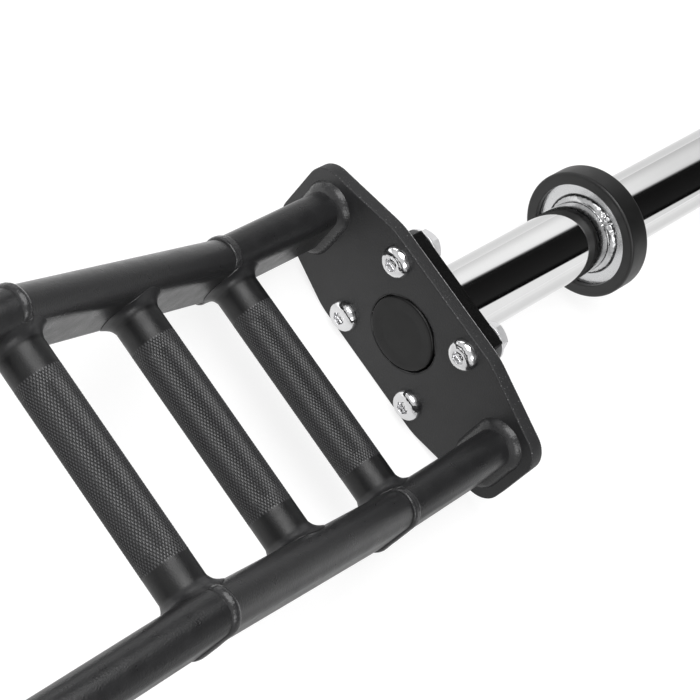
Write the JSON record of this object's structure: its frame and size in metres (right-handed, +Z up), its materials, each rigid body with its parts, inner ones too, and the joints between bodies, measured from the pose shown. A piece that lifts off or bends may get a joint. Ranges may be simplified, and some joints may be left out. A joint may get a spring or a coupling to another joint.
{
  "type": "swiss bar",
  "caption": "Cambered multi-grip barbell: a welded flat-oval cage with neutral-grip cross handles, bolted end plates and fixed chrome sleeves with rubber-edged collars.",
  "frame": {"origin": "on the floor, below the middle of the bar: the bar stands on the straight lower edges of its two end plates, and the sleeve axis is 49 mm above the origin", "axes": "+X along the bar towards the pictured end, +Y across the cage from the front rail to the back rail, along the grips, +Z up, the side that the camber rises to"},
  "size_m": [2.172, 0.229, 0.1628],
  "materials": {
    "black_coat": "satin powder coat",
    "grip_coat": "satin powder coat over diamond knurling",
    "black_plastic": "moulded, low sheen",
    "bright_fasteners": "bright plated steel",
    "sleeve_chrome": "polished chrome",
    "collar_rubber": "moulded matt rubber"
  },
  "bodies": {
    "root": {"rail_front_middle": "black_coat", "rail_back_middle": "black_coat", "rail_front_end_right": "black_coat", "rail_front_slope_right": "black_coat", "rail_back_end_right": "black_coat", "rail_back_slope_right": "black_coat", "grip_inner_right": "grip_coat", "grip_middle_right": "grip_coat", "grip_outer_right": "grip_coat", "end_plate_right": "black_coat", "plate_plug_right": "black_plastic", "flange_right": "black_coat", "bolt_right_1": "bright_fasteners", "washer_right_1": "bright_fasteners", "nut_right_1": "bright_fasteners", "bolt_right_2": "bright_fasteners", "washer_right_2": "bright_fasteners", "nut_right_2": "bright_fasteners", "bolt_right_3": "bright_fasteners", "washer_right_3": "bright_fasteners", "nut_right_3": "bright_fasteners", "bolt_right_4": "bright_fasteners", "washer_right_4": "bright_fasteners", "nut_right_4": "bright_fasteners", "sleeve_right": "sleeve_chrome", "collar_disc_right": "sleeve_chrome", "collar_ring_right": "collar_rubber", "sleeve_cap_right": "black_plastic", "rail_front_end_left": "black_coat", "rail_front_slope_left": "black_coat", "rail_back_end_left": "black_coat", "rail_back_slope_left": "black_coat", "grip_inner_left": "grip_coat", "grip_middle_left": "grip_coat", "grip_outer_left": "grip_coat", "end_plate_left": "black_coat", "plate_plug_left": "black_plastic", "flange_left": "black_coat", "bolt_left_1": "bright_fasteners", "washer_left_1": "bright_fasteners", "nut_left_1": "bright_fasteners", "bolt_left_2": "bright_fasteners", "washer_left_2": "bright_fasteners", "nut_left_2": "bright_fasteners", "bolt_left_3": "bright_fasteners", "washer_left_3": "bright_fasteners", "nut_left_3": "bright_fasteners", "bolt_left_4": "bright_fasteners", "washer_left_4": "bright_fasteners", "nut_left_4": "bright_fasteners", "sleeve_left": "sleeve_chrome", "collar_disc_left": "sleeve_chrome", "collar_ring_left": "collar_rubber", "sleeve_cap_left": "black_plastic"}
  },
  "joints": []
}
